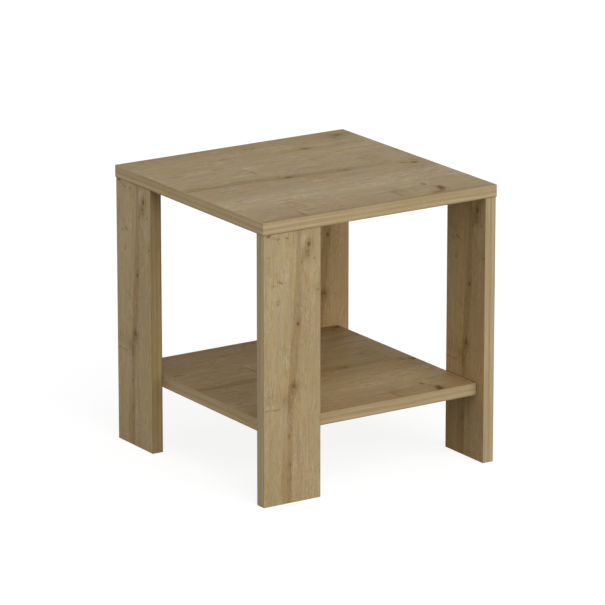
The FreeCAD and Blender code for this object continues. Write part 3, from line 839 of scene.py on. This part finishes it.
def beech():
    """Pale turned wood with short flecks."""
    material, g, shader = new_material("beech")
    flecks = g.ramp(g.noise(g.scaled(object_place(g), FLECKS_PER_MM), FLECK_DETAIL), *FLECK_NOISE)
    g.feed(shader.inputs["Base Color"], g.mixed(flecks, opaque(BEECH_LIGHT), opaque(BEECH_DARK)))
    g.feed(shader.inputs["Roughness"], g.math("MULTIPLY_ADD", flecks, FLECK_ROUGH, BEECH_ROUGH))
    add_relief(g, shader, flecks, BEECH_RELIEF)
    return material


def metal(name, kind):
    """Plated or cast metal, cloudy with fine handling marks."""
    material, g, shader = new_material(name)
    clouds = g.noise(g.scaled(object_place(g), 1.0 / kind.cloud), CLOUD_DETAIL)
    g.feed(shader.inputs["Base Color"], g.mixed(clouds, opaque(kind.dark), opaque(kind.bright)))
    shader.inputs["Metallic"].default_value = 1.0
    g.feed(shader.inputs["Roughness"], g.math("MULTIPLY_ADD", clouds, CLOUD_ROUGH, kind.rough))
    add_relief(g, shader, clouds, METAL_RELIEF)
    return material


def dress():
    """Give every node its material."""
    leg = oak_leg()
    panels = {
        # The top and the shelf take darker copies of the oak: painted shade, and on the top painted sheen
        "top_panel": oak_panel("top_panel", TOP_SHADE_AND_SHEEN_OAK),
        "shelf_panel": oak_panel("shelf_panel", SHELF_SHADED_OAK),
    }
    bands = {}
    wood = beech()
    steel = metal("plated_steel", STEEL)
    zinc = metal("cast_zinc", ZINC)
    for name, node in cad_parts.items():
        if name.endswith("_band"):
            low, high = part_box(name)
            size = list(high - low)
            words = name.split("_")
            group = words[-2] if words[0] == "leg" else words[0]
            axis = "XYZ"[size.index(max(size))]
            if (group, axis) not in bands:
                bands[group, axis] = oak_band(group, axis)
            material = bands[group, axis]
        elif name in panels:
            material = panels[name]
        elif name.endswith("_dowels"):
            material = wood
        elif name.endswith("_bolts"):
            material = steel
        elif name.endswith("_cams"):
            material = zinc
        else:
            material = leg
        node.data.materials.clear()
        node.data.materials.append(material)


def seen_directly(g):
    """1 for what is seen, straight or in gloss and glass, and 0 for the light that falls on the table."""
    path = g.add("ShaderNodeLightPath").outputs
    mirrored = g.math("MAXIMUM", path["Is Glossy Ray"], path["Is Transmission Ray"])
    return g.math("MAXIMUM", path["Is Camera Ray"], mirrored)


def make_floor():
    """A wide pale floor that looks white and keeps the table's shadow."""
    bpy.ops.mesh.primitive_plane_add(size=FLOOR_SIZE, location=(0.0, 0.0, -FLOOR_DROP))
    floor = bpy.context.object
    floor.name = "floor"
    material, g, shader = new_material("pale_floor")
    tree = material.node_tree
    tree.nodes.remove(shader)
    matt = g.add("ShaderNodeBsdfDiffuse", {"Color": opaque(FLOOR_BOUNCE)})
    shade = g.add("ShaderNodeBsdfDiffuse", {"Color": opaque(FLOOR_SHADE)})
    glow = g.add("ShaderNodeEmission", {"Color": opaque(WHITE), "Strength": FLOOR_GLOW})
    lifted = g.add("ShaderNodeAddShader", enumerate((shade.outputs[0], glow.outputs[0])))
    both = g.add("ShaderNodeMixShader", enumerate((seen_directly(g), matt.outputs[0], lifted.outputs[0])))
    tree.links.new(both.outputs[0], tree.nodes["Material Output"].inputs["Surface"])
    floor.data.materials.append(material)


def make_world():
    """Even light from all round, and a white backdrop where it is seen."""
    world = bpy.data.worlds.new("studio")
    bpy.context.scene.world = world
    world.use_nodes = True
    g = Graph(world.node_tree)
    background = world.node_tree.nodes["Background"]
    background.inputs["Color"].default_value = opaque(WHITE)
    g.feed(background.inputs["Strength"], g.math("MAXIMUM", seen_directly(g), AMBIENT))


def direction(azimuth, elevation):
    """Toward a lamp or the camera: azimuth from the table's front, elevation above the floor."""
    level = math.cos(elevation)
    return Vector((math.sin(azimuth) * level, -math.cos(azimuth) * level, math.sin(elevation)))


def add_lamps():
    """Wide soft lights; one of strength 1 lights a white surface that faces it to white."""
    for lamp in LAMPS:
        data = bpy.data.lights.new(lamp.name, "SUN")
        data.angle = math.radians(LAMP_SPREAD)
        data.energy = lamp.strength * math.pi
        light = bpy.data.objects.new(lamp.name, data)
        toward = direction(math.radians(lamp.azimuth), math.radians(lamp.elevation))
        light.rotation_euler = toward.to_track_quat("Z", "Y").to_euler()
        bpy.context.collection.objects.link(light)


def make_camera():
    data = bpy.data.cameras.new("camera")
    data.lens = LENS
    data.sensor_width = SENSOR
    data.clip_end = FARTHEST_SEEN
    camera = bpy.data.objects.new("camera", data)
    back = direction(VIEW_AZIMUTH, VIEW_ELEVATION)
    camera.location = VIEW_PLACE
    camera.rotation_euler = (-back).to_track_quat("-Z", "Y").to_euler()
    bpy.context.collection.objects.link(camera)
    bpy.context.scene.camera = camera


dress()
make_floor()
make_world()
add_lamps()
make_camera()
bpy.context.scene.view_settings.view_transform = "Standard"
